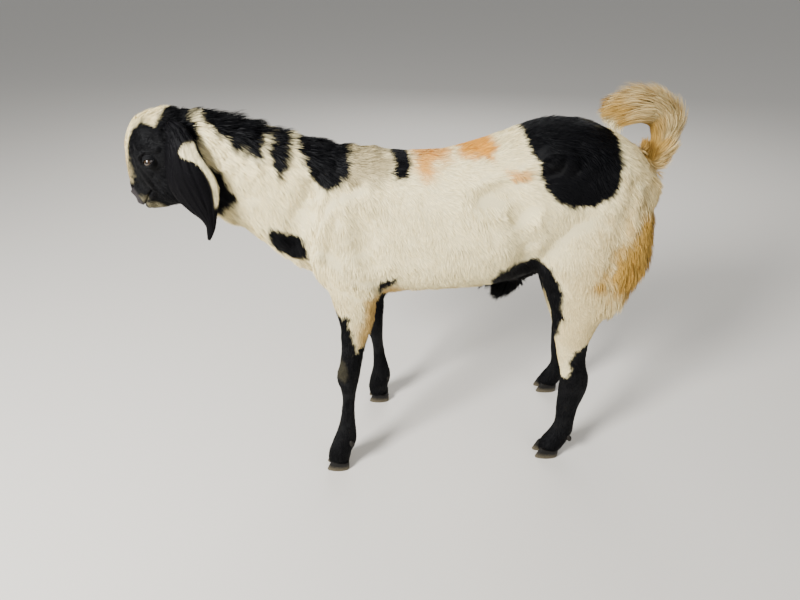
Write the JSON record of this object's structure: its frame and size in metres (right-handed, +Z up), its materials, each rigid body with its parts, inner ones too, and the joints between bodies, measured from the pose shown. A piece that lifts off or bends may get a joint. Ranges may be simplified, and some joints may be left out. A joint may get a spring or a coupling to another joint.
{
  "type": "billy goat",
  "caption": "Still, life-size standing billy goat of a tall, lop-eared, polled breed, with its tail curled up over the rump.",
  "frame": {"origin": "on the floor, under the middle of the goat's whole outline", "axes": "the goat faces -X, its left side is towards -Y, +Z is up"},
  "size_m": [1.1903, 0.3217, 0.9262],
  "materials": {
    "coat_cream": "soft cream-white hair",
    "coat_black": "short black hair with a faint sheen",
    "coat_golden": "long golden-tan hair",
    "bare_skin": "thinly haired dark skin",
    "hoof_horn": "dull hoof horn",
    "eye": "wet amber eye"
  },
  "bodies": {
    "root": {"head": "coat_black", "eye_left": "eye", "eye_right": "eye", "ear_left": "coat_black", "ear_right": "coat_black", "neck": "coat_cream", "torso": "coat_cream", "tail": "coat_golden", "scrotum": "bare_skin", "foreleg_left": "coat_black", "foreleg_right": "coat_black", "hindleg_left": "coat_black", "hindleg_right": "coat_black", "hoof_fore_left_outer": "hoof_horn", "hoof_fore_left_inner": "hoof_horn", "hoof_fore_right_outer": "hoof_horn", "hoof_fore_right_inner": "hoof_horn", "hoof_hind_left_outer": "hoof_horn", "hoof_hind_left_inner": "hoof_horn", "hoof_hind_right_outer": "hoof_horn", "hoof_hind_right_inner": "hoof_horn"}
  },
  "joints": []
}
